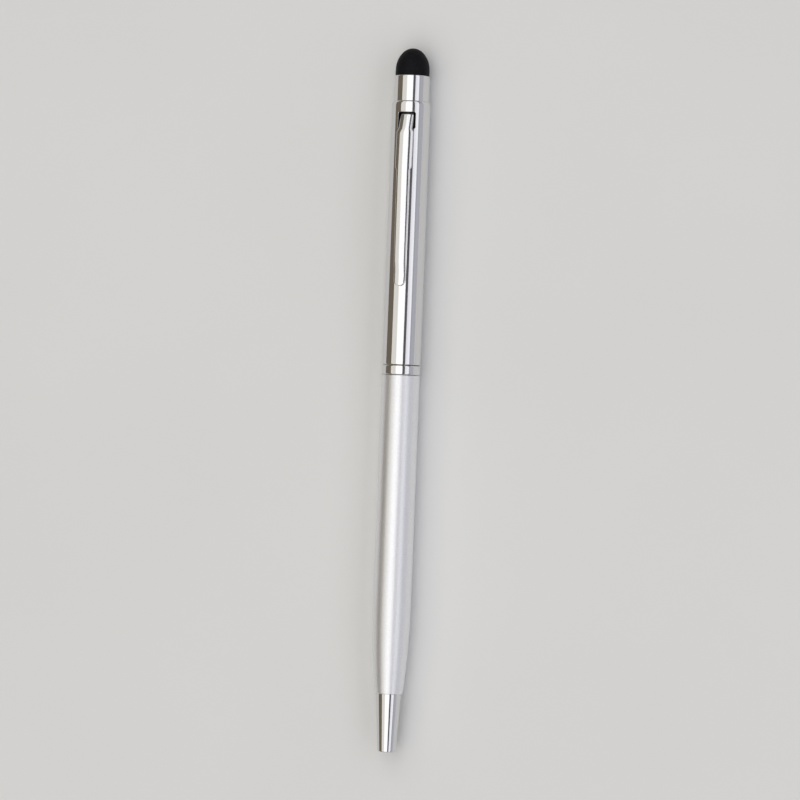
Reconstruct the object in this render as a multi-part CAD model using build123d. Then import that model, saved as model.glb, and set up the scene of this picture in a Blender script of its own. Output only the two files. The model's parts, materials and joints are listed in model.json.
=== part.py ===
from build123d import *

import os
from math import atan2, degrees, radians, sqrt

# Slim twist-action ballpoint pen with a rubber stylus end.
#
# Every piece is first made on the pen's own axis: Z runs from the flat end of the nose to the top of
# the stylus dome, a place along it is called a station, and the clip stands on the +X side.
# The pen is then laid on its side: the axis becomes +Y, the clip points to +Z and the surface that it
# lies on is Z = 0, with the origin under the middle of the pen.
#
# The upper barrel carries the cam. The coupling turns in it and the lower barrel is pushed onto the
# coupling. The refill slides in the coupling, driven by a cross pin. All sizes are in millimetres.

# ---- Driving dimensions ----
total_length = 136.0
upper_radius = 3.75
lower_radius = upper_radius - 0.1
upper_wall = 0.45
lower_wall = 0.5
fit_gap = 0.01  # between pieces that are pressed or glued together
running_gap = 0.05  # between pieces that turn or slide in each other
edge_round = 0.15

# ---- Lengths that show ----
nose_length = 11.3
taper_length = 17.8
lower_length = 61.5
ring_length = 1.9
ferrule_length = 5.0
dome_length = 5.4
slot_below_top = 2.2
slot_length = 3.2
clip_shoulder_length = 7.4
clip_length = 33.5  # from the slot's top to the clip's tip

# ---- Stations along the axis ----
nose_top = nose_length
taper_top = nose_top + taper_length
lower_top = nose_top + lower_length
ring_top = lower_top + ring_length
upper_bottom = ring_top + 2 * running_gap
ferrule_top = total_length - dome_length
upper_top = ferrule_top - ferrule_length
slot_top = upper_top - slot_below_top
slot_bottom = slot_top - slot_length
clip_shoulder = slot_bottom - clip_shoulder_length
clip_tip = slot_top - clip_length

# ---- Nose and lower barrel ----
nose_tip_radius = 1.8
nose_top_radius = 2.45
nose_mouth_radius = 1.25
nose_bore = nose_mouth_radius + 0.2
nose_spigot_radius = 2.19
nose_spigot_top = nose_top + 6.0
taper_end_radius = nose_top_radius + 0.25
lower_bore = lower_radius - lower_wall
socket_wall = 0.45
socket_bore = lower_bore - fit_gap - socket_wall
socket_length = 10.6

# ---- Twist mechanism ----
upper_bore = upper_radius - upper_wall
twist_angle = 180.0
refill_travel = 5.5
pin_radius = 0.6
slot_radius = pin_radius + 0.06
guide_radius = 2.3
guide_stem_radius = guide_radius - 0.2
guide_bore = 1.75
housing_wall = 0.33
housing_bore = upper_bore - fit_gap - housing_wall
housing_lip_bore = guide_radius + 2 * running_gap
housing_lip_top = upper_bottom + 0.7
collar_radius = housing_bore - 0.08
collar_bottom = housing_lip_top + 2 * running_gap
collar_top = collar_bottom + 0.8
washer_top = collar_top + running_gap + 0.5
cam_bore = guide_radius + 0.06
cam_bottom = washer_top + running_gap
pin_station = 85.5  # where the drive pin stands when the refill is drawn in
carrier_top = pin_station + 2.1
guide_top = carrier_top + 1.0
cam_top = guide_top + 0.5
cap_top = cam_top + 1.3
housing_top = cap_top + 0.6
sleeve_radius = socket_bore - 0.09
sleeve_bottom = lower_top - 8.3
guide_bottom = sleeve_bottom + 0.3
ring_bore = 3.01

# ---- Refill: the short metal kind, 67 mm long and 2.35 mm thick ----
refill_length = 67.0
refill_radius = 1.175
refill_bore = 1.0
refill_front = 1.3  # how far the ball stands back in the nose when the refill is drawn in
refill_back = refill_front + refill_length
tip_length = 8.5
tip_shank_top = refill_front + tip_length + 3.0
ball_radius = 0.5
ball_gap = 0.015
ink_top = refill_back - 12.3
follower_length = 2.5
carrier_radius = guide_bore - running_gap
carrier_bottom = refill_back - 6.0

# ---- Clip ----
clip_thickness = 0.45
clip_arch_radius = 2.88  # outer face of the strip, which is curved across its width
clip_neck_half_width = 1.3  # in the slot
clip_shoulder_half_width = 1.6
clip_waist_half_width = 1.25
clip_tip_half_width = 1.15
clip_shoulder_slope = 0.6  # how far the neck takes to widen to the shoulders
clip_waist_slope = 0.8
clip_side_gap = 0.4
clip_tab_end = upper_top - 0.3

# ---- Stylus end ----
ferrule_radius = upper_radius - 0.3
ferrule_spigot_bottom = upper_top - 12.0
ferrule_bore = 1.4
ferrule_cup_radius = ferrule_radius - 0.73
ferrule_cup_floor = ferrule_top - 3.4
core_bottom = upper_top - 4.1
dome_radius = ferrule_radius - 0.17
dome_rise = 4.1  # the dome is a little taller than a half ball
dome_top_radius = 2.7
rubber_wall = 0.8
rubber_neck_bore = 1.9


# ---- Shared shapes ----
def turned(*outline):
    """A solid of revolution from a closed outline of (radius, station) points."""
    return revolve(make_face(Plane.XZ * Polyline(*outline, close=True)), Axis.Z)


def turned_from(*lines):
    """A solid of revolution from a closed outline of lines and arcs in (radius, station)."""
    return revolve(make_face([Plane.XZ * line for line in lines]), Axis.Z)


def tube(outer, inner, bottom, top):
    """A plain tube between two stations."""
    return turned((inner, bottom), (outer, bottom), (outer, top), (inner, top))


def rod(radius, bottom, top):
    """A plain round bar between two stations."""
    return turned((0, bottom), (radius, bottom), (radius, top), (0, top))


def cross_rod(radius, length):
    """A round bar that lies across the axis, along X."""
    return Cylinder(radius, length, rotation=(0, 90, 0))


def rims(solid, radius, *stations):
    """The solid's circular edges of one radius that lie at the given stations."""
    tolerance = 1e-3
    return ShapeList(
        edge
        for edge in solid.edges().filter_by(GeomType.CIRCLE)
        if abs(edge.radius - radius) < tolerance
        and any(abs(edge.arc_center.Z - station) < tolerance for station in stations)
    )


def taper_radius(station, inset=0.0):
    """The lower barrel's radius where it narrows to the nose, along one arc tangent to its side."""
    drop = lower_radius - taper_end_radius
    arc_radius = (taper_length**2 + drop**2) / (2 * drop)
    below_top = arc_radius - inset - sqrt((arc_radius - inset) ** 2 - (taper_top - station) ** 2)
    return lower_radius - inset - below_top


# ---- Lower barrel ----
def nose_cone():
    """Turned and plated tip: the refill's point comes out of its mouth, and its spigot is pressed in."""
    mouth_length = 2.4
    mouth_step = 0.6
    straight_length = 0.5
    rim_round = 0.25
    mouth_chamfer = 0.12
    lead_in = 0.3
    cone = turned(
        (nose_mouth_radius, 0),
        (nose_tip_radius, 0),
        (nose_top_radius, nose_top - straight_length),
        (nose_top_radius, nose_top),
        (nose_spigot_radius, nose_top),
        (nose_spigot_radius, nose_spigot_top - lead_in),
        (nose_spigot_radius - lead_in, nose_spigot_top),
        (nose_bore, nose_spigot_top),
        (nose_bore, mouth_length + mouth_step),
        (nose_mouth_radius, mouth_length),
    )
    cone = fillet(rims(cone, nose_tip_radius, 0), rim_round)
    return chamfer(rims(cone, nose_mouth_radius, 0), mouth_chamfer)


def lower_barrel():
    """Lacquered tube that narrows to the nose, with a thicker wall where the nose is pressed in."""
    nose_end_round = 0.12
    seat_radius = nose_spigot_radius + fit_gap
    seat_top = nose_spigot_top + 0.2
    neck_top = seat_top + 1.0
    neck_radius = taper_radius(neck_top, lower_wall)
    inner_middle = (neck_top + taper_top) / 2
    outer_middle = (nose_top + taper_top) / 2
    inner_arc = ThreePointArc(
        (neck_radius, neck_top),
        (taper_radius(inner_middle, lower_wall), inner_middle),
        (lower_bore, taper_top),
    )
    outer_arc = ThreePointArc(
        (lower_radius, taper_top),
        (taper_radius(outer_middle), outer_middle),
        (taper_end_radius, nose_top),
    )
    barrel = turned_from(
        Polyline(
            (taper_end_radius, nose_top),
            (seat_radius, nose_top),
            (seat_radius, seat_top),
            (neck_radius, neck_top),
        ),
        inner_arc,
        Polyline(
            (lower_bore, taper_top),
            (lower_bore, lower_top),
            (lower_radius, lower_top),
            (lower_radius, taper_top),
        ),
        outer_arc,
    )
    barrel = fillet(rims(barrel, lower_radius, lower_top), edge_round)
    return fillet(rims(barrel, taper_end_radius, nose_top), nose_end_round)


def barrel_socket():
    """Brass sleeve glued in the lower barrel's mouth. It slides on the coupling's ribs."""
    lead_in = 0.2
    top = lower_top - 0.2
    socket = tube(lower_bore - fit_gap, socket_bore, top - socket_length, top)
    return chamfer(rims(socket, socket_bore, top), lead_in)


# ---- Coupling: the half of the mechanism that turns with the lower barrel ----
def guide_tube():
    """Slotted tube that the refill carrier slides in, with a collar held inside the housing."""
    step = ring_top - running_gap
    guide = turned(
        (guide_bore, guide_bottom),
        (guide_stem_radius, guide_bottom),
        (guide_stem_radius, step),
        (guide_radius, step),
        (guide_radius, collar_bottom),
        (collar_radius, collar_bottom),
        (collar_radius, collar_top),
        (guide_radius, collar_top),
        (guide_radius, guide_top),
        (guide_bore, guide_top),
    )
    slot_middle = pin_station - refill_travel / 2
    slot = SlotCenterToCenter(refill_travel, 2 * slot_radius, rotation=90)
    return guide - extrude(Plane.YZ * Pos(0, slot_middle) * slot, upper_radius, both=True)


def coupling_sleeve():
    """Moulded sleeve on the guide tube's stem. Its three ribs grip the lower barrel's socket."""
    bore = guide_stem_radius + fit_gap
    rib_radius = socket_bore - fit_gap
    rib_spacing = 2.4
    first_rib = 1.7
    rib_half_length = 0.5
    crest_half_length = 0.25
    flange_radius = ring_bore - fit_gap
    flange_top = ring_top - running_gap - fit_gap
    outline = [
        (bore, sleeve_bottom),
        (sleeve_radius - 0.4, sleeve_bottom),
        (sleeve_radius, sleeve_bottom + 0.6),
    ]
    for rib in range(3):
        middle = sleeve_bottom + first_rib + rib * rib_spacing
        outline += [
            (sleeve_radius, middle - rib_half_length),
            (rib_radius, middle - crest_half_length),
            (rib_radius, middle + crest_half_length),
            (sleeve_radius, middle + rib_half_length),
        ]
    outline += [
        (sleeve_radius, lower_top),
        (flange_radius, lower_top),
        (flange_radius, flange_top),
        (bore, flange_top),
    ]
    return turned(*outline)


def centre_ring():
    """Plated trim ring between the barrels, pressed on the coupling sleeve's flange."""
    shoulder_round = 0.4
    bottom = lower_top + running_gap
    ring = tube(upper_radius, ring_bore, bottom, ring_top)
    return fillet(rims(ring, upper_radius, bottom, ring_top), shoulder_round)


# ---- Upper barrel: the half of the mechanism that carries the cam ----
def upper_barrel():
    """Plated tube with the rectangular slot that the clip comes out of."""
    barrel = tube(upper_radius, upper_bore, upper_bottom, upper_top)
    barrel = fillet(rims(barrel, upper_radius, upper_top), 2 * edge_round)
    barrel = fillet(rims(barrel, upper_radius, upper_bottom), edge_round)
    slot_corner = 0.3
    slot_width = 2 * (clip_neck_half_width + clip_side_gap)
    slot = RectangleRounded(slot_width, slot_length, slot_corner)
    return barrel - extrude(Plane.YZ * Pos(0, (slot_bottom + slot_top) / 2) * slot, 2 * upper_radius)


def mechanism_housing():
    """Brass tube pressed in the upper barrel. Its lower lip keeps the guide tube's collar in."""
    outer = upper_bore - fit_gap
    bottom = upper_bottom + 0.15
    rolled_edge = 0.15
    rolled_bottom = housing_top - 0.4
    lead_in = 0.15
    housing = turned(
        (housing_lip_bore, bottom),
        (outer, bottom),
        (outer, housing_top),
        (housing_bore - rolled_edge, housing_top),
        (housing_bore - rolled_edge, rolled_bottom),
        (housing_bore, rolled_bottom - rolled_edge),
        (housing_bore, housing_lip_top),
        (housing_lip_bore, housing_lip_top),
    )
    return chamfer(rims(housing, outer, housing_top), lead_in)


def friction_washer():
    """Nylon washer between the guide tube's collar and the cam. It gives the twist its drag."""
    return tube(housing_bore - running_gap, cam_bore, collar_top + running_gap, washer_top)


def helical_slot(start_angle):
    """The space that one end of the drive pin sweeps while the coupling makes its turn."""
    lead = refill_travel * 360 / twist_angle
    middle = (cam_bore + housing_bore) / 2
    depth = 1.2
    low = pin_station - refill_travel
    helix = Helix(pitch=lead, height=refill_travel, radius=middle, lefthand=True)
    path = Pos(0, 0, low) * Rot(0, 0, start_angle + twist_angle) * helix
    outward = Vector((path @ 0).X, (path @ 0).Y, 0)
    start = Plane(origin=path @ 0, x_dir=outward, z_dir=path % 0)
    groove = sweep(start * Rectangle(depth, 2 * slot_radius), path=path, is_frenet=True)
    for angle, station in ((0, pin_station), (twist_angle, low)):
        end = Pos(middle, 0, station) * cross_rod(slot_radius, depth)
        groove += Rot(0, 0, start_angle + angle) * end
    return groove


def cam_sleeve():
    """Acetal sleeve with two left-hand helical slots, one for each end of the drive pin."""
    sleeve = tube(housing_bore - fit_gap, cam_bore, cam_bottom, cam_top)
    return sleeve - helical_slot(0) - helical_slot(180)


def housing_cap():
    """Brass disc with an air hole that closes the mechanism, held by the housing's rolled edge."""
    air_hole_radius = 0.6
    return tube(housing_bore - fit_gap, air_hole_radius, cam_top + running_gap, cap_top)


# ---- Refill ----
def refill_carrier():
    """Acetal slider. Its split lower end grips the refill's tube, and the drive pin crosses its top."""
    socket_radius = refill_radius + fit_gap
    socket_top = refill_back + 0.2
    edge = 0.2
    carrier = turned(
        (socket_radius, carrier_bottom),
        (carrier_radius - edge, carrier_bottom),
        (carrier_radius, carrier_bottom + edge),
        (carrier_radius, carrier_top - edge),
        (carrier_radius - edge, carrier_top),
        (0, carrier_top),
        (0, socket_top),
        (socket_radius, socket_top),
    )
    slit_depth = 3.0
    slit_width = 0.35
    slit = Pos(0, 0, carrier_bottom) * Box(2 * guide_radius, slit_width, 2 * slit_depth)
    carrier -= slit + Rot(0, 0, 90) * slit
    return carrier - Pos(0, 0, pin_station) * cross_rod(pin_radius + fit_gap, 2 * guide_radius)


def drive_pin():
    """Hardened pin whose two ends ride in the guide tube's and the cam's slots."""
    end_chamfer = 0.12
    pin = cross_rod(pin_radius, 2 * (housing_bore - 2 * running_gap))
    pin = chamfer(pin.edges().filter_by(GeomType.CIRCLE), end_chamfer)
    return Pos(0, 0, pin_station) * pin


def refill_tip():
    """Nickel-silver point with the ball's seat and the ink channel behind it."""
    lip = refill_front + 0.3
    lip_radius = 0.53
    neck_radius = 0.72
    neck_bottom = lip + 0.9
    neck_top = lip + 1.3
    cone_top = lip + 4.4
    shoulder_radius = refill_radius - 0.025
    shoulder = refill_front + tip_length
    shank_radius = refill_bore - fit_gap
    channel = 0.25
    channel_top = lip + 3.0
    chamber = 0.6
    tip = turned(
        (channel, lip),
        (lip_radius, lip),
        (neck_radius, neck_bottom),
        (neck_radius, neck_top),
        (shoulder_radius, cone_top),
        (shoulder_radius, shoulder),
        (shank_radius, shoulder),
        (shank_radius, tip_shank_top),
        (chamber, tip_shank_top),
        (chamber, cone_top),
        (channel, channel_top),
    )
    return tip - Pos(0, 0, refill_front + ball_radius) * Sphere(ball_radius + ball_gap)


def writing_ball():
    """Carbide ball that rolls in the refill's tip."""
    return Pos(0, 0, refill_front + ball_radius) * Sphere(ball_radius)


def refill_tube():
    """Thin brass tube that holds the ink."""
    end_round = 0.08
    body = tube(refill_radius, refill_bore, refill_front + tip_length, refill_back)
    return fillet(rims(body, refill_radius, refill_back), end_round)


def refill_ink():
    """Column of paste ink, from the tip's shank to the follower."""
    return rod(refill_bore - fit_gap, tip_shank_top + fit_gap, ink_top)


def refill_follower():
    """Plug of grease that follows the ink down."""
    return rod(refill_bore - fit_gap, ink_top + fit_gap, ink_top + follower_length)


# ---- Stylus end ----
def clip_groove():
    """The space in the ferrule's spigot that the clip's tab and ramp lie in, under the barrel."""
    floor_radius = clip_arch_radius - clip_thickness - 0.15
    bottom = slot_bottom - clip_shoulder_slope
    top = upper_top - fit_gap
    width = 2 * (clip_neck_half_width + clip_side_gap)
    side = Pos(upper_radius, 0, (bottom + top) / 2) * Box(2 * upper_radius, width, top - bottom)
    return tube(upper_radius, floor_radius, bottom, top) & side


def stylus_ferrule():
    """Plated collar that holds the rubber. Its spigot is pressed in the barrel and traps the clip."""
    spigot_radius = upper_bore - fit_gap
    lead_in = 0.3
    rim_round = 0.2
    ferrule = turned(
        (ferrule_bore, ferrule_spigot_bottom),
        (spigot_radius - lead_in, ferrule_spigot_bottom),
        (spigot_radius, ferrule_spigot_bottom + lead_in),
        (spigot_radius, upper_top),
        (ferrule_radius, upper_top),
        (ferrule_radius, ferrule_top),
        (ferrule_cup_radius, ferrule_top),
        (ferrule_cup_radius, ferrule_cup_floor),
        (ferrule_bore, ferrule_cup_floor),
    )
    return fillet(rims(ferrule, ferrule_radius, ferrule_top), rim_round) - clip_groove()


def stylus_core():
    """Moulded plug in the ferrule whose stem and head keep the rubber in place."""
    plug_radius = ferrule_bore - fit_gap
    stem_radius = rubber_neck_bore - fit_gap
    stem_bottom = ferrule_cup_floor + fit_gap
    head_radius = dome_radius - rubber_wall - 0.3
    head_bottom = ferrule_top + rubber_wall + fit_gap
    head_top = head_bottom + 1.0
    edge = 0.4
    return turned(
        (0, core_bottom),
        (plug_radius - edge, core_bottom),
        (plug_radius, core_bottom + edge),
        (plug_radius, stem_bottom),
        (stem_radius, stem_bottom),
        (stem_radius, head_bottom),
        (head_radius, head_bottom),
        (head_radius, head_top - edge),
        (head_radius - edge, head_top),
        (0, head_top),
    )


def dome_arcs(inset=0.0):
    """The dome's side and top, two arcs tangent to each other, moved inwards by inset."""
    height = dome_rise - dome_top_radius
    side_radius = (dome_radius**2 + height**2 - dome_top_radius**2) / (2 * (dome_radius - dome_top_radius))
    side_centre = (dome_radius - side_radius, total_length - dome_rise)
    turn = degrees(atan2(height, side_radius - dome_radius))
    side = CenterArc(side_centre, side_radius - inset, 0, turn)
    top = CenterArc((0, total_length - dome_top_radius), dome_top_radius - inset, turn, 90 - turn)
    return side, top


def stylus_tip():
    """Hollow dome of conductive rubber, with a neck that is held in the ferrule."""
    foot_round = 0.25
    inner_radius = dome_radius - rubber_wall
    dome_base = total_length - dome_rise
    neck_radius = ferrule_cup_radius - fit_gap
    neck_bottom = ferrule_cup_floor + 0.1
    floor = ferrule_top + rubber_wall
    tip = turned_from(
        Line((0, total_length), (0, total_length - rubber_wall)),
        *dome_arcs(rubber_wall),
        Polyline(
            (inner_radius, dome_base),
            (inner_radius, floor),
            (rubber_neck_bore, floor),
            (rubber_neck_bore, neck_bottom),
            (neck_radius, neck_bottom),
            (neck_radius, ferrule_top),
            (dome_radius, ferrule_top),
            (dome_radius, dome_base),
        ),
        *dome_arcs(),
    )
    return fillet(rims(tip, dome_radius, ferrule_top), foot_round)


# ---- Clip ----
def clip_line():
    """The clip's side view, along the middle of the strip, from its tab to its flared tip."""
    tab_radius = clip_arch_radius - clip_thickness / 2
    corners = [
        (tab_radius, clip_tab_end),
        (tab_radius, slot_top + 0.5),
        (4.75, slot_bottom - 0.7),
        (5.1, clip_shoulder),
        (4.78, clip_tip + 4.5),
        (4.24, clip_tip + 2.1),
        (4.6, clip_tip),
    ]
    return Plane.XZ * FilletPolyline(*corners, radius=[2.0, 2.5, 8.0, 3.0, 2.0])


def clip_outline():
    """The clip's front view: a neck in the slot, wide shoulders, and a tapered arm with a round tip."""
    edge = [
        (clip_tip_half_width, clip_tip + clip_tip_half_width),
        (clip_waist_half_width, clip_shoulder - clip_waist_slope),
        (clip_shoulder_half_width, clip_shoulder),
        (clip_shoulder_half_width, slot_bottom - clip_shoulder_slope),
        (clip_neck_half_width, slot_bottom),
        (clip_neck_half_width, upper_top),
    ]
    other_edge = [(-half_width, station) for half_width, station in reversed(edge)]
    end = ThreePointArc(edge[0], (0, clip_tip), other_edge[-1])
    return Plane.YZ * make_face([Polyline(*edge, *other_edge), end])


def clip():
    """Sprung steel strip: a tab under the barrel's end, a ramp through the slot and a tapered arm."""
    spare_width = 0.6
    ring = Circle(clip_arch_radius) - Circle(clip_arch_radius - clip_thickness)
    band = Rectangle(2 * clip_arch_radius, 2 * clip_shoulder_half_width + spare_width)
    arch = ring & Pos(clip_arch_radius, 0) * band
    start = Plane(origin=(0, 0, clip_tab_end), x_dir=(1, 0, 0), z_dir=(0, 0, -1))
    strip = sweep(start * arch, path=clip_line())
    return strip & extrude(clip_outline(), 2 * upper_radius)


# ---- The whole pen ----
pieces = [
    nose_cone,
    lower_barrel,
    barrel_socket,
    guide_tube,
    coupling_sleeve,
    centre_ring,
    upper_barrel,
    mechanism_housing,
    friction_washer,
    cam_sleeve,
    housing_cap,
    refill_carrier,
    drive_pin,
    refill_tip,
    writing_ball,
    refill_tube,
    refill_ink,
    refill_follower,
    stylus_ferrule,
    stylus_core,
    stylus_tip,
    clip,
]

lying = Plane(origin=(0, -total_length / 2, upper_radius), x_dir=(0, 0, 1), z_dir=(0, 1, 0))
os.makedirs("parts", exist_ok=True)
for piece in pieces:
    export_step(lying.location * piece(), f"parts/{piece.__name__}.step")

print("refill travel for each radian of twist, in metres:", refill_travel / radians(twist_angle) / 1000)
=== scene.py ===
"""Looks for a slim twist-action ballpoint pen with a rubber stylus end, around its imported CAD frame.

The pen lies along +Y with its clip upwards, and every length is in metres. The pieces that show are turned or
swept here as fine meshes in the places that the CAD gives. The mechanism inside keeps its CAD shapes.
"""

import json
from math import asin, atan2, cos, pi, radians, sin, sqrt, tan

import bmesh
import bpy
from mathutils import Matrix, Vector


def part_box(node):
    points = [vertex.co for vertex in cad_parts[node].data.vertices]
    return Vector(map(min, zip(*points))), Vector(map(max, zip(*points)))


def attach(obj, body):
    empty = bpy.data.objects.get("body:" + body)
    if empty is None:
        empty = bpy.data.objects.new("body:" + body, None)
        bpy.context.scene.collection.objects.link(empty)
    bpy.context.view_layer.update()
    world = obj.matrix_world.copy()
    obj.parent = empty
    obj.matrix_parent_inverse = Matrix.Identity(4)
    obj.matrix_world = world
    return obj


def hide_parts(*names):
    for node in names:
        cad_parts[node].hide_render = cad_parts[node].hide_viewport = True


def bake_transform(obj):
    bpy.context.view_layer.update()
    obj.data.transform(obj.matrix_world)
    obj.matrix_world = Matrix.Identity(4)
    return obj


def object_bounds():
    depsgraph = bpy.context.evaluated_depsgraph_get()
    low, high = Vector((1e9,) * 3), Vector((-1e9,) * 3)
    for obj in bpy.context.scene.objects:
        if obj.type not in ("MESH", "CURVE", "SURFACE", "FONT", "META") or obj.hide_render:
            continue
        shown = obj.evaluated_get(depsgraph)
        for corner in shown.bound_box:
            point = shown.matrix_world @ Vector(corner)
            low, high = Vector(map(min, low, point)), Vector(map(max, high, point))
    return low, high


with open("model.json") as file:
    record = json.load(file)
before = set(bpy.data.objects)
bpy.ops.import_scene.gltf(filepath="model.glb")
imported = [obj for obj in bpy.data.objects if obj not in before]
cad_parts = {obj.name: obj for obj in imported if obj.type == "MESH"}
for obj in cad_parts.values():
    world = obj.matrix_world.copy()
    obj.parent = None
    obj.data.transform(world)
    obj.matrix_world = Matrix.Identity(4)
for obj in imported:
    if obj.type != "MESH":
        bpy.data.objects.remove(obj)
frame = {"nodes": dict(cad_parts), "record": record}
cad_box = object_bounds()

# ---- Driving dimensions that the CAD's boxes don't give ----
mm = 0.001
fit_gap = 0.01 * mm
crisp_edge = 0.05 * mm
slot_below_top = 2.2 * mm
slot_length = 3.2 * mm
slot_side_gap = 0.4 * mm
slot_corner = 0.3 * mm
clip_thickness = 0.45 * mm
clip_arch = 2.655 * mm  # radius of the middle of the strip, which is curved across its width
clip_shoulder_height = 22.9 * mm  # from the clip's tip up to its wider part
clip_neck = 1.3 * mm  # half of the clip's width in the slot
clip_waist = 1.25 * mm
clip_waist_slope = 0.8 * mm
clip_shoulder_slope = 0.6 * mm
clip_tip_radius = 1.15 * mm
clip_crest = 5.098 * mm  # the middle of the strip where it stands highest, over the pen's axis
dome_rise = 4.1 * mm
dome_top_radius = 2.7 * mm
rubber_wall = 0.8 * mm
taper_length = 17.8 * mm
taper_end_radius = 2.7 * mm
nose_spigot_length = 6.0 * mm
nose_spigot_radius = 2.19 * mm


def extent(node):
    """(bottom station, top station, outer radius) of a round CAD node. A station is a place along Y."""
    low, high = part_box(node)
    return low.y, high.y, (high.x - low.x) / 2


upper_bottom, upper_top, upper_radius = extent("upper_barrel")
lower_bottom, lower_top, lower_radius = extent("lower_barrel")
upper_bore = extent("mechanism_housing")[2] + fit_gap
lower_bore = extent("barrel_socket")[2] + fit_gap
axis_height = upper_radius
slot_top = upper_top - slot_below_top
slot_bottom = slot_top - slot_length
slot_half_width = clip_neck + slot_side_gap


# ---- Mesh helpers ----
real_edge = radians(40)  # faces that turn by more than this meet in a sharp edge


def soften(outline, rounding=crisp_edge, steps=4):
    """The closed outline with each real corner rounded, and points beside it that keep the flats flat.

    An outline is a list of (radius, station) points. A third number is that corner's own rounding.
    """
    smooth_turn = radians(20)
    side_share = 0.4  # of each side, the most that a corner's rounding takes
    guard_place = 1.2  # how far off the points beside a corner stand, in roundings
    points = []
    corners = [(*point, rounding)[:3] for point in outline]
    neighbours = zip(corners[-1:] + corners[:-1], corners, corners[1:] + corners[:1])
    for before, (radius, station, size), after in neighbours:
        corner = Vector((radius, station))
        back = Vector(before[:2]) - corner
        ahead = Vector(after[:2]) - corner
        if radius == 0 or pi - back.angle(ahead) < smooth_turn:
            points.append(corner)
            continue
        reach = min(size, side_share * back.length, side_share * ahead.length)
        start = corner + back.normalized() * reach
        end = corner + ahead.normalized() * reach
        points.append(corner + back.normalized() * guard_place * reach)
        for step in range(steps + 1):
            share = step / steps
            points.append((1 - share) ** 2 * start + 2 * share * (1 - share) * corner + share**2 * end)
        points.append(corner + ahead.normalized() * guard_place * reach)
    return points


def finish_mesh(work, name, sharp_angle=real_edge):
    """An object from a bmesh, with its faces turned outwards and shaded smooth but for real edges."""
    bmesh.ops.recalc_face_normals(work, faces=work.faces)
    if work.calc_volume(signed=True) < 0:
        bmesh.ops.reverse_faces(work, faces=work.faces)
    mesh = bpy.data.meshes.new(name)
    work.to_mesh(mesh)
    work.free()
    mesh.shade_smooth()
    mesh.set_sharp_from_angle(angle=sharp_angle)
    piece = bpy.data.objects.new(name, mesh)
    bpy.context.collection.objects.link(piece)
    return piece


def bridge(work, ring, next_ring):
    """Faces between two closed rings of vertices, either of which may be a single point."""
    count = max(len(ring), len(next_ring))
    if count == 1:
        return
    for place in range(count):
        corners = []
        for side, places in ((ring, (place, place + 1)), (next_ring, (place + 1, place))):
            corners += [side[index % len(side)] for index in places]
        work.faces.new(dict.fromkeys(corners))


def turned(name, outline, segments=128):
    """A closed mesh turned about the pen's axis from a closed outline of (radius, station) points."""
    work = bmesh.new()
    rings = []
    for radius, station in outline:
        count = segments if radius > 0 else 1
        turns = [2 * pi * step / count for step in range(count)]
        points = [(radius * sin(turn), station, axis_height + radius * cos(turn)) for turn in turns]
        rings.append([work.verts.new(point) for point in points])
    for ring, next_ring in zip(rings, rings[1:] + rings[:1]):
        bridge(work, ring, next_ring)
    return finish_mesh(work, name)


def arc(centre, radius, start, end, steps):
    """Points of an arc about a (radius, station) point. Its angles run from the pen's side up to its top."""
    angles = [start + (end - start) * step / steps for step in range(steps + 1)]
    return [(centre[0] + radius * cos(angle), centre[1] + radius * sin(angle)) for angle in angles]


def prism(name, rings):
    """A closed solid through rings of points, with flat ends."""
    work = bmesh.new()
    corners = [[work.verts.new(point) for point in ring] for ring in rings]
    for ring, next_ring in zip(corners, corners[1:]):
        bridge(work, ring, next_ring)
    work.faces.new(corners[0])
    work.faces.new(reversed(corners[-1]))
    return finish_mesh(work, name)


def cut(piece, cutter):
    """Takes the cutter's space out of the piece for good."""
    difference = piece.modifiers.new("cut", "BOOLEAN")
    difference.operation = "DIFFERENCE"
    difference.solver = "EXACT"
    difference.object = cutter
    with bpy.context.temp_override(object=piece, active_object=piece):
        bpy.ops.object.modifier_apply(modifier=difference.name)
    bpy.data.objects.remove(cutter)
    piece.data.shade_smooth()
    piece.data.set_sharp_from_angle(angle=real_edge)


def away_from_axis(point):
    """The part of a point's place that is square to the pen's axis."""
    return Vector((point.x, 0, point.z - axis_height))


def true_walls(piece):
    """Gives the piece's round walls a true cylinder's normals, so that reflections run straight."""
    nearly_radial = cos(radians(3))
    mesh = piece.data
    normals = [corner.vector.copy() for corner in mesh.corner_normals]
    for face in mesh.polygons:
        for corner in face.loop_indices:
            point = mesh.vertices[mesh.loops[corner].vertex_index].co
            outward = away_from_axis(point).normalized()
            facing = face.normal.dot(outward)
            if abs(facing) > nearly_radial:
                normals[corner] = outward if facing > 0 else -outward
    mesh.normals_split_custom_set(normals)


def plate_and_paint_shade_inside(piece, hidden):
    """Plates the piece, but for the faces whose middle is hidden, which get unplated metal darkened into
    painted shade.
    """
    piece.data.materials.clear()
    piece.data.materials.append(finishes["chrome"])
    piece.data.materials.append(finishes["painted_shade_metal"])
    for face in piece.data.polygons:
        face.material_index = 1 if hidden(face.center) else 0


# ---- Material helpers ----
def finish(name, colour, roughness, metallic=0.0, **sockets):
    """A material with its constants on the shader. More inputs are given by name, as in coat_weight=0.2."""
    material = bpy.data.materials.new(name)
    material.use_nodes = True
    shader = material.node_tree.nodes["Principled BSDF"]
    shader.inputs["Base Color"].default_value = (*colour, 1)
    shader.inputs["Roughness"].default_value = roughness
    shader.inputs["Metallic"].default_value = metallic
    for socket, value in sockets.items():
        shader.inputs[socket.replace("_", " ").title().replace("Ior", "IOR")].default_value = value
    return material


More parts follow.
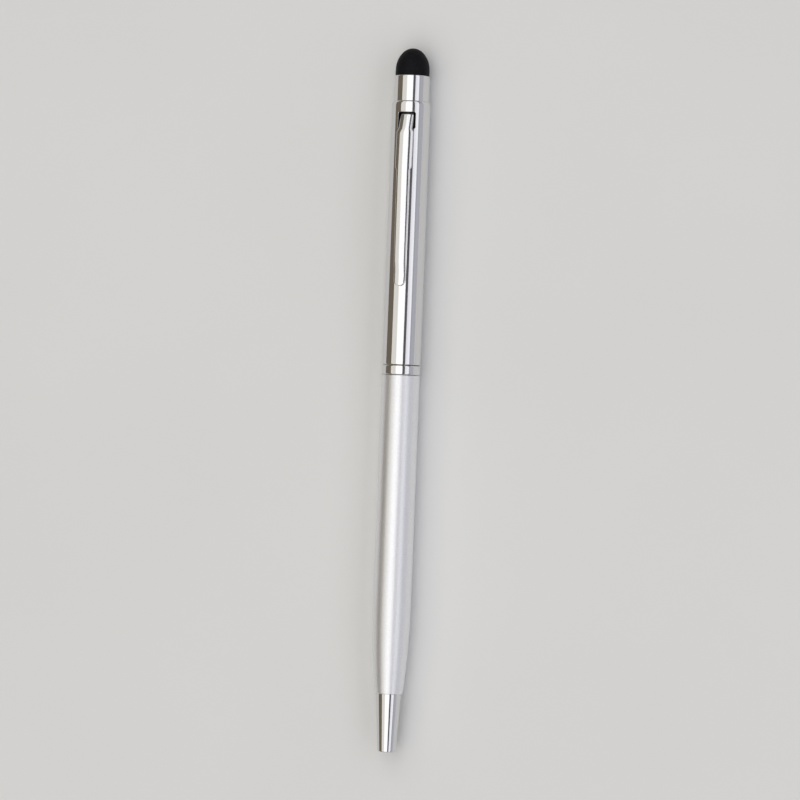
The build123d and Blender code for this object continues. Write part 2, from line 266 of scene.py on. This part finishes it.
def grain(material, size, stretch=(1, 1, 1), detail=2.0):
    """Noise from 0 to 1 whose features are size across, times stretch along X, Y and Z."""
    nodes = material.node_tree.nodes
    place = nodes.new("ShaderNodeTexCoord")
    scaled = nodes.new("ShaderNodeMapping")
    scaled.inputs["Scale"].default_value = [1 / (size * share) for share in stretch]
    noise = nodes.new("ShaderNodeTexNoise")
    noise.inputs["Scale"].default_value = 1
    noise.inputs["Detail"].default_value = detail
    material.node_tree.links.new(place.outputs["Object"], scaled.inputs["Vector"])
    material.node_tree.links.new(scaled.outputs["Vector"], noise.inputs["Vector"])
    return noise.outputs["Fac"]


def flakes(material, size):
    """A value from 0 to 1 that is the same over each small cell, like a flake in metallic paint."""
    nodes = material.node_tree.nodes
    place = nodes.new("ShaderNodeTexCoord")
    cells = nodes.new("ShaderNodeTexVoronoi")
    cells.inputs["Scale"].default_value = 1 / size
    single = nodes.new("ShaderNodeSeparateColor")
    material.node_tree.links.new(place.outputs["Object"], cells.inputs["Vector"])
    material.node_tree.links.new(cells.outputs["Color"], single.inputs["Color"])
    return single.outputs["Red"]


noise_low = 0.3  # nearly all of a noise's values lie between these two
noise_high = 0.7


def vary_roughness(material, source, low, high):
    """Lets the source move the roughness between two values."""
    span = material.node_tree.nodes.new("ShaderNodeMapRange")
    span.inputs["From Min"].default_value = noise_low
    span.inputs["From Max"].default_value = noise_high
    span.inputs["To Min"].default_value = low
    span.inputs["To Max"].default_value = high
    shader = material.node_tree.nodes["Principled BSDF"]
    material.node_tree.links.new(source, span.inputs["Value"])
    material.node_tree.links.new(span.outputs["Result"], shader.inputs["Roughness"])


def vary_colour(material, source, dark, light):
    """Lets the source move the base colour between two colours."""
    ramp = material.node_tree.nodes.new("ShaderNodeValToRGB")
    for stop, place, colour in zip(ramp.color_ramp.elements, (noise_low, noise_high), (dark, light)):
        stop.position = place
        stop.color = (*colour, 1)
    shader = material.node_tree.nodes["Principled BSDF"]
    material.node_tree.links.new(source, ramp.inputs["Fac"])
    material.node_tree.links.new(ramp.outputs["Color"], shader.inputs["Base Color"])


def raise_surface(material, source, height):
    """Adds a relief of that height to the surface, on top of any that it has."""
    links = material.node_tree.links
    shader = material.node_tree.nodes["Principled BSDF"]
    bump = material.node_tree.nodes.new("ShaderNodeBump")
    bump.inputs["Distance"].default_value = height
    if shader.inputs["Normal"].is_linked:
        links.new(shader.inputs["Normal"].links[0].from_socket, bump.inputs["Normal"])
    links.new(source, bump.inputs["Height"])
    links.new(bump.outputs["Normal"], shader.inputs["Normal"])


# ---- Materials ----
along = (1, 30, 1)  # stretches a grain into lines down the pen
around = (400, 1, 400)  # stretches a grain into rings round the pen


def chrome():
    """Bright plating: nearly a mirror, a little wavy along the tube, with handling marks in its gloss."""
    plating = finish("chrome", (0.74, 0.74, 0.745), 0.05, metallic=1.0)
    vary_roughness(plating, grain(plating, 0.12 * mm, along, detail=4), 0.03, 0.1)
    raise_surface(plating, grain(plating, 3 * mm, (1, 5, 1), detail=1), 0.008 * mm)
    raise_surface(plating, grain(plating, 0.08 * mm, along), 0.0002 * mm)
    return plating


def spring_steel():
    """The clip's plated strip, drawn lengthwise before it was pressed."""
    strip = finish("clip_chrome", (0.74, 0.74, 0.745), 0.1, metallic=1.0)
    vary_roughness(strip, grain(strip, 0.1 * mm, along, detail=4), 0.05, 0.14)
    raise_surface(strip, grain(strip, 0.08 * mm, along), 0.0004 * mm)
    return strip


def painted_shade_metal():
    """Dull metal inside the plated tubes, where the plating doesn't reach, made very dark as painted shade in
    the slot and the bores.
    """
    metal = finish("painted_shade_metal", (0.1, 0.095, 0.09), 0.6, metallic=1.0)
    vary_colour(metal, grain(metal, 0.6 * mm, detail=5), (0.06, 0.055, 0.05), (0.13, 0.125, 0.115))
    vary_roughness(metal, grain(metal, 0.3 * mm, detail=4), 0.5, 0.72)
    raise_surface(metal, grain(metal, 0.05 * mm, around), 0.001 * mm)
    return metal


def satin_silver():
    """Silver lacquer with fine metal flakes, satin all over."""
    lacquer = finish("satin_silver", (0.86, 0.865, 0.885), 0.4, metallic=0.88)
    vary_colour(lacquer, flakes(lacquer, 0.06 * mm), (0.81, 0.815, 0.835), (0.91, 0.915, 0.93))
    vary_roughness(lacquer, grain(lacquer, 0.4 * mm, detail=4), 0.37, 0.43)
    raise_surface(lacquer, grain(lacquer, 0.12 * mm, detail=3), 0.001 * mm)
    return lacquer


def conductive_rubber():
    """Matte black moulded rubber with a fine pebbled skin and a trace of dust."""
    rubber = finish("conductive_rubber", (0.004, 0.004, 0.006), 0.6, specular_ior_level=0.12)
    vary_colour(rubber, grain(rubber, 0.5 * mm, detail=6), (0.003, 0.003, 0.0045), (0.007, 0.007, 0.009))
    vary_roughness(rubber, grain(rubber, 0.3 * mm, detail=4), 0.52, 0.68)
    raise_surface(rubber, grain(rubber, 0.09 * mm, detail=3), 0.006 * mm)
    return rubber


def black_plastic():
    """Moulded black acetal, satin, with faint flow marks."""
    plastic = finish("black_plastic", (0.02, 0.02, 0.022), 0.42)
    vary_roughness(plastic, grain(plastic, 0.6 * mm, detail=4), 0.36, 0.48)
    raise_surface(plastic, grain(plastic, 0.1 * mm, detail=3), 0.003 * mm)
    return plastic


def white_acetal():
    """Milky moulded acetal that lets a little light in."""
    depth = 0.3 * mm
    acetal = finish("white_acetal", (0.82, 0.81, 0.77), 0.4, subsurface_weight=0.1, subsurface_scale=depth)
    vary_roughness(acetal, grain(acetal, 0.5 * mm, detail=4), 0.34, 0.46)
    raise_surface(acetal, grain(acetal, 0.1 * mm, detail=3), 0.002 * mm)
    return acetal


def brass():
    """Drawn and turned brass, dulled in patches, with faint tool rings round it."""
    metal = finish("brass", (0.72, 0.52, 0.23), 0.26, metallic=1.0)
    vary_colour(metal, grain(metal, 2 * mm, detail=5), (0.62, 0.43, 0.19), (0.76, 0.57, 0.27))
    vary_roughness(metal, grain(metal, 0.8 * mm, along, detail=5), 0.2, 0.3)
    raise_surface(metal, grain(metal, 0.05 * mm, around), 0.0004 * mm)
    return metal


def nickel_silver():
    """Turned nickel silver of the refill's point, bright along its tool rings."""
    metal = finish("nickel_silver", (0.66, 0.63, 0.56), 0.22, metallic=1.0)
    vary_roughness(metal, grain(metal, 0.3 * mm, detail=4), 0.16, 0.28)
    raise_surface(metal, grain(metal, 0.03 * mm, around), 0.001 * mm)
    return metal


def steel_pin():
    """Hardened and polished steel, with fine grinding lines across the pin."""
    steel = finish("steel_pin", (0.56, 0.56, 0.58), 0.16, metallic=1.0)
    vary_roughness(steel, grain(steel, 0.2 * mm, detail=4), 0.12, 0.22)
    raise_surface(steel, grain(steel, 0.03 * mm, (1, 1, 60)), 0.0006 * mm)
    return steel


def carbide():
    """Tungsten carbide ground to a dark polish, with a fine grain that carries the ink."""
    ball = finish("carbide", (0.36, 0.36, 0.38), 0.14, metallic=1.0)
    vary_roughness(ball, grain(ball, 0.03 * mm, detail=3), 0.08, 0.22)
    raise_surface(ball, grain(ball, 0.02 * mm), 0.0006 * mm)
    return ball


def ink():
    """Blue paste ink: nearly black where it is thick."""
    paste = finish("ink", (0.01, 0.015, 0.12), 0.15, coat_weight=0.4, coat_roughness=0.1)
    vary_colour(paste, grain(paste, 0.8 * mm, detail=3), (0.006, 0.01, 0.09), (0.015, 0.02, 0.16))
    vary_roughness(paste, grain(paste, 0.5 * mm), 0.1, 0.22)
    return paste


def follower_grease():
    """Amber grease behind the ink."""
    depth = 0.5 * mm
    grease = finish("follower_grease", (0.72, 0.6, 0.32), 0.2, subsurface_weight=0.3, subsurface_scale=depth)
    vary_roughness(grease, grain(grease, 0.6 * mm, detail=3), 0.14, 0.3)
    raise_surface(grease, grain(grease, 0.5 * mm), 0.004 * mm)
    return grease


def pale_paper():
    """The matte pale surface that the pen lies on."""
    paper = finish("pale_paper", (0.8, 0.8, 0.79), 0.9, specular_ior_level=0.2)
    vary_colour(paper, grain(paper, 60 * mm, detail=4), (0.79, 0.79, 0.78), (0.81, 0.81, 0.8))
    raise_surface(paper, grain(paper, 0.4 * mm, detail=3), 0.01 * mm)
    return paper


# ---- Upper barrel ----
def slot_edge():
    """(across, station, angle) round the slot: points a corner's radius inside its edge, and the way out."""
    reach = slot_half_width - slot_corner
    corner_steps = 4
    across_steps = 8
    edge = []
    for quarter, (side, end) in enumerate(((1, 1), (-1, 1), (-1, -1), (1, -1))):
        station = (slot_top + slot_bottom) / 2 + end * (slot_length / 2 - slot_corner)
        for step in range(corner_steps + 1):
            edge.append((side * reach, station, pi / 2 * (quarter + step / corner_steps)))
        if side == end:
            for step in range(1, across_steps):
                edge.append((side * reach * (1 - 2 * step / across_steps), station, pi / 2 * (quarter + 1)))
    return edge


def slot_cutter():
    """A plug the shape of the clip's slot, that flares where it leaves the tube to round the slot's rim."""
    rim = 0.08 * mm
    clear = 0.4 * mm
    levels = [(upper_bore - clear, 0), (upper_radius - rim, 0)]
    for angle in (radians(25), radians(50), radians(75)):
        levels.append((upper_radius - rim + rim * sin(angle), rim * (1 - cos(angle))))
    levels += [(upper_radius + rim, 2 * rim), (upper_radius + 2 * clear, 2 * rim)]
    rings = []
    for level, spread in levels:
        ring = []
        for across, station, angle in slot_edge():
            across += (slot_corner + spread) * cos(angle)
            station += (slot_corner + spread) * sin(angle)
            ring.append((across, station, axis_height + sqrt(level**2 - across**2)))
        rings.append(ring)
    return prism("slot_cutter", rings)


def upper_barrel():
    """Plated tube, rounded over in a long soft edge at its top, with the slot for the clip."""
    edge_depth = 0.28 * mm
    edge_length = 0.8 * mm
    bottom_round = 0.15 * mm
    unshaded_depth = 0.15 * mm  # how far the plating reaches into the slot; deeper faces get the dark painted shade
    steps = 10
    outline = [(upper_bore, upper_bottom), (upper_radius, upper_bottom, bottom_round)]
    for step in range(steps + 1):
        angle = pi / 2 * step / steps
        inwards = edge_depth * (1 - cos(angle))
        down = edge_length * (1 - sin(angle))
        outline.append((upper_radius - inwards, upper_top - down))
    outline.append((upper_bore, upper_top))

    def hidden(middle):
        depth = upper_radius - away_from_axis(middle).length
        in_soft_edge = middle.y > upper_top - edge_length
        return depth > (edge_depth if in_soft_edge else unshaded_depth)

    shell = turned("upper_barrel_shell", soften(outline))
    cut(shell, slot_cutter())
    true_walls(shell)
    # faces in the bore and down the slot's walls get very dark metal as painted shade
    plate_and_paint_shade_inside(shell, hidden)
    return shell


# ---- Stylus end ----
def clip_groove():
    """The space in the ferrule's spigot that holds the clip's tab, as a prism along the pen."""
    under_clip = 0.15 * mm
    steps = 12
    groove_floor = clip_arch - clip_thickness / 2 - under_clip
    half_angle = asin(slot_half_width / groove_floor)
    outline = [(slot_half_width, 2 * upper_radius), (-slot_half_width, 2 * upper_radius)]
    for step in range(steps + 1):
        angle = half_angle * (2 * step / steps - 1)
        outline.append((groove_floor * sin(angle), groove_floor * cos(angle)))
    ends = (slot_bottom - clip_shoulder_slope, upper_top - fit_gap)
    return prism("groove_cutter", [[(x, station, axis_height + z) for x, z in outline] for station in ends])


def ferrule():
    """Plated collar under the rubber, with the spigot that goes down inside the barrel."""
    bottom, top, radius = extent("stylus_ferrule")
    spigot = upper_bore - fit_gap
    bore = 1.4 * mm
    cup = radius - 0.73 * mm
    cup_floor = top - 3.4 * mm
    lead_in = 0.3 * mm
    rim_round = 0.2 * mm
    outline = [
        (bore, bottom),
        (spigot, bottom, lead_in),
        (spigot, upper_top),
        (radius, upper_top),
        (radius, top, rim_round),
        (cup, top, rim_round / 2),
        (cup, cup_floor),
        (bore, cup_floor),
    ]
    collar = turned("ferrule_collar", soften(outline))
    cut(collar, clip_groove())
    true_walls(collar)
    # the spigot and its groove, seen through the slot, get very dark metal as painted shade
    plate_and_paint_shade_inside(collar, lambda middle: middle.y < upper_top)
    return collar


def dome_curve(inset=0.0):
    """Points up the dome: its side and its tighter top, two tangent arcs moved inwards by inset."""
    top, radius = extent("stylus_tip")[1:]
    height = dome_rise - dome_top_radius
    side_radius = (radius**2 + height**2 - dome_top_radius**2) / (2 * (radius - dome_top_radius))
    join = atan2(height, side_radius - radius)
    points = arc((radius - side_radius, top - dome_rise), side_radius - inset, 0, join, 8)
    points += arc((0, top - dome_top_radius), dome_top_radius - inset, join, pi / 2, 24)[1:-1]
    return points + [(0, top - inset)]


def stylus_dome():
    """Hollow rubber dome with a rounded foot that sits on the ferrule, and its neck inside."""
    bottom, _, radius = extent("stylus_tip")
    ferrule_top, ferrule_radius = extent("stylus_ferrule")[1:]
    neck = ferrule_radius - 0.74 * mm
    neck_bore = 1.9 * mm
    foot_round = 0.3 * mm
    foot_top = ferrule_top + rubber_wall
    outline = list(reversed(dome_curve(rubber_wall)))
    outline += [
        (radius - rubber_wall, foot_top),
        (neck_bore, foot_top),
        (neck_bore, bottom),
        (neck, bottom),
        (neck, ferrule_top),
        (radius, ferrule_top, foot_round),
    ]
    outline += dome_curve()
    return turned("stylus_dome", soften(outline))


# ---- Lower barrel ----
def trim_ring():
    """Plated ring between the barrels, with rounded shoulders."""
    bottom, top, radius = extent("centre_ring")
    bore = extent("coupling_sleeve")[2] + fit_gap
    shoulder = 0.4 * mm
    outline = [(bore, bottom), (radius, bottom, shoulder), (radius, top, shoulder), (bore, top)]
    return turned("trim_ring", soften(outline, steps=6))


def taper(inset, start, end, steps=24):
    """Points of the lower barrel's long curve, moved inwards by inset, between two stations."""
    drop = lower_radius - taper_end_radius
    curve = (taper_length**2 + drop**2) / (2 * drop)
    taper_top = lower_bottom + taper_length
    points = []
    for step in range(steps + 1):
        station = start + (end - start) * step / steps
        fall = curve - inset - sqrt((curve - inset) ** 2 - (taper_top - station) ** 2)
        points.append((lower_radius - inset - fall, station))
    return points


def lower_barrel():
    """Lacquered tube that narrows to the nose in one long curve."""
    seat = nose_spigot_radius + fit_gap
    seat_top = lower_bottom + nose_spigot_length + 0.2 * mm
    neck_top = seat_top + 1.0 * mm
    taper_top = lower_bottom + taper_length
    mouth_round = 0.15 * mm
    nose_end_round = 0.12 * mm
    outline = [(seat, lower_bottom), (seat, seat_top)]
    outline += taper(lower_radius - lower_bore, neck_top, taper_top)
    outline += [(lower_bore, lower_top), (lower_radius, lower_top, mouth_round)]
    outline += taper(0, taper_top, lower_bottom)[:-1]
    outline += [(taper_end_radius, lower_bottom, nose_end_round)]
    return turned("lower_barrel_shell", soften(outline))


def barrel_socket():
    """Brass sleeve in the lower barrel's mouth, with a lead-in for the coupling's ribs."""
    bottom, top, radius = extent("barrel_socket")
    bore = radius - 0.45 * mm
    lead_in = 0.2 * mm
    outline = [(bore, bottom), (radius, bottom), (radius, top), (bore, top, lead_in)]
    return turned("brass_socket", soften(outline))


def nose():
    """Plated cone with a rounded rim and a countersunk mouth, and its spigot in the lower barrel."""
    bottom, top, radius = extent("nose_cone")
    mouth = 1.25 * mm
    mouth_top = bottom + 2.4 * mm
    bore = mouth + 0.2 * mm
    bore_bottom = bottom + 3.0 * mm
    tip_radius = 1.8 * mm
    cone_top = lower_bottom - 0.5 * mm
    countersink = 0.14 * mm
    rim_round = 0.25 * mm
    top_round = 0.04 * mm
    lead_in = 0.3 * mm
    outline = [
        (mouth, bottom, countersink),
        (tip_radius, bottom, rim_round),
        (radius, cone_top),
        (radius, lower_bottom, top_round),
        (nose_spigot_radius, lower_bottom),
        (nose_spigot_radius, top, lead_in),
        (bore, top),
        (bore, bore_bottom),
        (mouth, mouth_top),
    ]
    return turned("nose_cone_shell", soften(outline))


def coupling_sleeve():
    """Moulded sleeve with three ribs that grip the socket, and the flange under the trim ring."""
    bottom, top, flange = extent("coupling_sleeve")
    body = 2.6 * mm
    rib = 2.68 * mm
    bore = 2.11 * mm
    first_rib = 1.7 * mm
    rib_spacing = 2.4 * mm
    rib_half_length = 0.5 * mm
    crest_half_length = 0.25 * mm
    lead_in_depth = 0.4 * mm
    lead_in_length = 0.6 * mm
    outline = [(bore, bottom), (body - lead_in_depth, bottom), (body, bottom + lead_in_length)]
    for step in range(3):
        middle = bottom + first_rib + rib_spacing * step
        outline += [(body, middle - rib_half_length), (rib, middle - crest_half_length)]
        outline += [(rib, middle + crest_half_length), (body, middle + rib_half_length)]
    outline += [(body, lower_top), (flange, lower_top), (flange, top), (bore, top)]
    return turned("coupling_plug", soften(outline), segments=96)


# ---- Refill ----
def refill_tube():
    """Brass tube of the refill, rolled in at its end and crimped on the point's shank."""
    bottom, top, radius = extent("refill_tube")
    bore = 1.0 * mm
    crimp = bottom + 1.5 * mm
    crimp_half_length = 0.3 * mm
    waist = radius - 0.06 * mm
    waist_half_length = 0.1 * mm
    cut_edge = 0.04 * mm
    rolled_edge = 0.12 * mm
    outline = [
        (bore, bottom),
        (radius, bottom, cut_edge),
        (radius, crimp - crimp_half_length),
        (waist, crimp - waist_half_length),
        (waist, crimp + waist_half_length),
        (radius, crimp + crimp_half_length),
        (radius, top, rolled_edge),
        (bore, top),
    ]
    return turned("refill_barrel", soften(outline), segments=64)


def refill_point():
    """Nickel-silver point: a stepped cone whose lip is rolled over the ball."""
    lip, top, radius = extent("refill_tip")
    ball_bottom, ball_top, ball_radius = extent("writing_ball")
    shank_bottom = extent("refill_tube")[0]
    ball_middle = (ball_bottom + ball_top) / 2
    seat = ball_radius + 0.015 * mm
    seat_end = radians(56)
    seat_steps = 12
    lip_bore = sqrt(seat**2 - (lip - ball_middle) ** 2)
    lip_radius = 0.53 * mm
    lip_edge = 0.005 * mm
    lip_round = 0.02 * mm
    cone_round = 0.1 * mm
    neck = 0.72 * mm
    channel = 0.25 * mm
    chamber = 0.6 * mm
    shank = 0.99 * mm
    cone_top = lip + 4.4 * mm
    outline = [
        (lip_bore, lip, lip_edge),
        (lip_radius, lip, lip_round),
        (neck, lip + 0.9 * mm),
        (neck, lip + 1.3 * mm),
        (radius, cone_top, cone_round),
        (radius, shank_bottom),
        (shank, shank_bottom),
        (shank, top),
        (chamber, top),
        (chamber, cone_top),
        (channel, lip + 3.0 * mm),
        (channel, ball_middle + sqrt(seat**2 - channel**2)),
    ]
    outline += arc((0, ball_middle), seat, seat_end, asin((lip - ball_middle) / seat), seat_steps)[:-1]
    return turned("refill_point", soften(outline, rounding=0.03 * mm), segments=64)


def writing_ball():
    """The ball in the point."""
    bottom, top, radius = extent("writing_ball")
    side = arc((0, bottom + radius), radius, -pi / 2, pi / 2, 30)[1:-1]
    return turned("point_ball", [(0, bottom), *side, (0, top)], segments=48)


# ---- Clip ----
def clip_half_width(station):
    """Half of the clip's width: a neck in the slot, wide shoulders, and a tapered arm with a round tip."""
    low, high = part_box("clip")
    shoulder = (high.x - low.x) / 2
    tip_middle = low.y + clip_tip_radius
    widths = [
        (tip_middle, clip_tip_radius),
        (low.y + clip_shoulder_height - clip_waist_slope, clip_waist),
        (low.y + clip_shoulder_height, shoulder),
        (slot_bottom - clip_shoulder_slope, shoulder),
        (slot_bottom, clip_neck),
    ]
    if station < tip_middle:
        return sqrt(max(0.0, clip_tip_radius**2 - (tip_middle - station) ** 2))
    for (start, start_width), (end, end_width) in zip(widths, widths[1:]):
        if station < end:
            share = (station - start) / (end - start)
            eased = 3 * share**2 - 2 * share**3
            return start_width + (end_width - start_width) * eased
    return clip_neck


def rounded_line(corners, radii, steps=24):
    """Points along a line of straight runs whose corners are arcs of the given radii."""
    points = [Vector(corners[0])]
    for before, corner, after, radius in zip(corners, corners[1:], corners[2:], radii):
        corner = Vector(corner)
        back = (Vector(before) - corner).normalized()
        ahead = (Vector(after) - corner).normalized()
        half_angle = back.angle(ahead) / 2
        centre = corner + (back + ahead).normalized() * radius / sin(half_angle)
        spoke = corner + back * radius / tan(half_angle) - centre
        turn = pi - 2 * half_angle
        if back.x * ahead.y - back.y * ahead.x > 0:
            turn = -turn
        for step in range(steps + 1):
            points.append(centre + Matrix.Rotation(turn * step / steps, 2) @ spoke)
    points.append(Vector(corners[-1]))
    return points


def places_along(points, distances):
    """(point, direction) at each distance along a line of points."""
    places = []
    passed = 0.0
    runs = list(zip(points, points[1:]))
    for distance in distances:
        while len(runs) > 1 and distance > passed + (runs[0][1] - runs[0][0]).length:
            passed += (runs[0][1] - runs[0][0]).length
            runs.pop(0)
        start, end = runs[0]
        direction = (end - start).normalized()
        places.append((start + direction * (distance - passed), direction))
    return places


def clip_places():
    """(point, direction) pairs down the clip's middle, in (height, station), close together at its tip."""
    low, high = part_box("clip")
    ramp_end_height = 4.75 * mm
    arm_end_height = 4.78 * mm
    lowest_height = 4.24 * mm
    tip_height = 4.6 * mm
    corners = [
        (axis_height + clip_arch, high.y),
        (axis_height + clip_arch, slot_top + 0.5 * mm),
        (axis_height + ramp_end_height, slot_bottom - 0.7 * mm),
        (axis_height + clip_crest, low.y + clip_shoulder_height),
        (axis_height + arm_end_height, low.y + 4.5 * mm),
        (axis_height + lowest_height, low.y + 2.1 * mm),
        (axis_height + tip_height, low.y),
    ]
    bends = [2.0 * mm, 2.5 * mm, 8.0 * mm, 3.0 * mm, 2.0 * mm]
    line = rounded_line(corners, bends)
    length = sum((end - start).length for start, end in zip(line, line[1:]))
    body_steps = 240
    tip_steps = 14
    last_gap = 0.002 * mm
    distances = [(length - clip_tip_radius) * step / body_steps for step in range(body_steps)]
    for step in range(tip_steps):
        left = clip_tip_radius * (1 - sin(pi / 2 * step / tip_steps))
        distances.append(length - left)
    return places_along(line, distances + [length - last_gap])


def clip():
    """Sprung strip, arched across its width with rounded edges, that thins out to nothing at its rim."""
    edge = 0.16 * mm
    across_steps = 24
    tip_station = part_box("clip")[0].y
    work = bmesh.new()
    rings = []
    for (height, station), direction in clip_places():
        half_width = clip_half_width(station)
        tip_share = min(1.0, (station - tip_station) / edge)
        tip_fade = sqrt(1 - (1 - tip_share) ** 2)
        up = Vector((-direction.y, direction.x))
        ring = []
        for step in range(2 * across_steps):
            swing = pi * step / across_steps
            across = -half_width * cos(swing)
            beyond = max(0.0, (abs(across) - half_width + edge) / edge)
            half_thickness = clip_thickness / 2 * sqrt(max(0.0, 1 - beyond**2)) * tip_fade
            reach = clip_arch + half_thickness * (1 if swing < pi else -1)
            slant = asin(across / clip_arch)
            lift = reach * cos(slant) - clip_arch
            ring.append(work.verts.new((reach * sin(slant), station + up.y * lift, height + up.x * lift)))
        rings.append(ring)
    for ring, next_ring in zip(rings, rings[1:]):
        bridge(work, ring, next_ring)
    work.faces.new(rings[0])
    work.faces.new(reversed(rings[-1]))
    return finish_mesh(work, "clip_strip", sharp_angle=radians(60))


# ---- Surroundings ----
def softbox(name, start, end, brightness, colour):
    """A long light over the pen that fills the angles from start to end, counted from straight up to +X."""
    distance = 1.0
    length = 3.2
    middle = (start + end) / 2
    data = bpy.data.lights.new(name, "AREA")
    data.shape = "RECTANGLE"
    data.size = 2 * distance * tan((end - start) / 2)
    data.size_y = length
    data.energy = brightness * pi * data.size * data.size_y
    data.color = colour
    light = bpy.data.objects.new(name, data)
    light.location = (distance * sin(middle), 0, axis_height + distance * cos(middle))
    light.rotation_euler = (0, middle, 0)
    light.visible_camera = False
    bpy.context.collection.objects.link(light)


def studio_world():
    """Soft surroundings for the chrome to mirror: warm on the left, dark up on the right, paler beyond that.

    Where the camera sees them, they are plain and pale.
    """
    world = bpy.data.worlds.new("studio")
    bpy.context.scene.world = world
    world.use_nodes = True
    nodes = world.node_tree.nodes
    links = world.node_tree.links
    place = nodes.new("ShaderNodeTexCoord")
    split = nodes.new("ShaderNodeSeparateXYZ")
    ramp = nodes.new("ShaderNodeValToRGB")
    shift = nodes.new("ShaderNodeMapRange")
    shift.inputs["From Min"].default_value = -1
    warm_left, pale_right = ramp.color_ramp.elements
    warm_left.position = 0.1
    warm_left.color = (0.18, 0.15, 0.115, 1)
    pale_right.position = 0.98
    pale_right.color = (0.5, 0.5, 0.55, 1)
    dark_gap = ramp.color_ramp.elements.new(0.76)
    dark_gap.color = (0.12, 0.115, 0.125, 1)
    choice = nodes.new("ShaderNodeMix")
    choice.data_type = "RGBA"
    seen = nodes.new("ShaderNodeLightPath")
    links.new(place.outputs["Generated"], split.inputs["Vector"])
    links.new(split.outputs["X"], shift.inputs["Value"])
    links.new(shift.outputs["Result"], ramp.inputs["Fac"])
    links.new(seen.outputs["Is Camera Ray"], choice.inputs["Factor"])
    links.new(ramp.outputs["Color"], choice.inputs["A"])
    choice.inputs["B"].default_value = (0.8, 0.8, 0.8, 1)
    links.new(choice.outputs["Result"], nodes["Background"].inputs["Color"])


def floor():
    """A wide pale surface under the pen."""
    half = 4.0
    work = bmesh.new()
    outline = ((-half, -half), (half, -half), (half, half), (-half, half))
    work.faces.new([work.verts.new((x, y, 0)) for x, y in outline])
    surface = finish_mesh(work, "floor")
    surface.data.materials.append(pale_paper())


def camera():
    """Looks almost straight down, from a little to the pen's right, with the stylus end up."""
    tilt = radians(13)
    lean = radians(2.2)
    distance = 0.58
    data = bpy.data.cameras.new("camera")
    data.lens = 135
    data.clip_start = 0.01
    eye = bpy.data.objects.new("camera", data)
    low, high = cad_box
    middle = Vector((0, (low[1] + high[1]) / 2, axis_height))
    turn = Matrix.Rotation(tilt, 4, "Y") @ Matrix.Rotation(lean, 4, "Z")
    eye.matrix_world = Matrix.Translation(middle) @ turn @ Matrix.Translation((0, 0, distance))
    bpy.context.collection.objects.link(eye)
    bpy.context.scene.camera = eye


# ---- The pieces on their bodies ----
def place_piece(piece, node, body, material, record_slot):
    """Puts the piece in the CAD node's place on the body, with the material if its maker gave it none."""
    if not piece.data.materials:
        piece.data.materials.append(material)
    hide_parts(node)
    if body:
        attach(piece, body)


finishes = {
    "chrome": chrome(),
    "painted_shade_metal": painted_shade_metal(),
    "satin_silver": satin_silver(),
    "conductive_rubber": conductive_rubber(),
    "black_plastic": black_plastic(),
    "brass": brass(),
    "white_acetal": white_acetal(),
    "steel_pin": steel_pin(),
    "nickel_silver": nickel_silver(),
    "carbide": carbide(),
    "ink": ink(),
    "follower_grease": follower_grease(),
}
record_slots = {part["node"]: part["material_slot"] for part in frame["record"]["subparts"]}
bodies = frame["record"]["behaviour"]["bodies"]
body_of_node = {node: body for body, nodes in bodies.items() for node in nodes}
makers = {
    "upper_barrel": upper_barrel,
    "stylus_ferrule": ferrule,
    "stylus_tip": stylus_dome,
    "centre_ring": trim_ring,
    "lower_barrel": lower_barrel,
    "barrel_socket": barrel_socket,
    "nose_cone": nose,
    "coupling_sleeve": coupling_sleeve,
    "refill_tube": refill_tube,
    "refill_tip": refill_point,
    "writing_ball": writing_ball,
}

for node, shape in frame["nodes"].items():
    slot = record_slots[node]
    if node in makers:
        place_piece(makers[node](), node, body_of_node[node], finishes[slot], slot)
    elif node != "clip":
        for material_slot in shape.material_slots:
            material_slot.material = finishes[slot]

strip = clip()
place_piece(strip, "clip", None, spring_steel(), record_slots["clip"])
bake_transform(strip)

floor()
softbox("far_left_softbox", radians(-50), radians(-20), 0.72, (1.0, 1.0, 0.94))
softbox("left_softbox", radians(-20), radians(20), 1.25, (0.98, 0.99, 1.0))
softbox("right_softbox", radians(35), radians(60), 0.8, (0.96, 0.96, 1.0))
studio_world()
camera()
bpy.context.scene.view_settings.view_transform = "Standard"
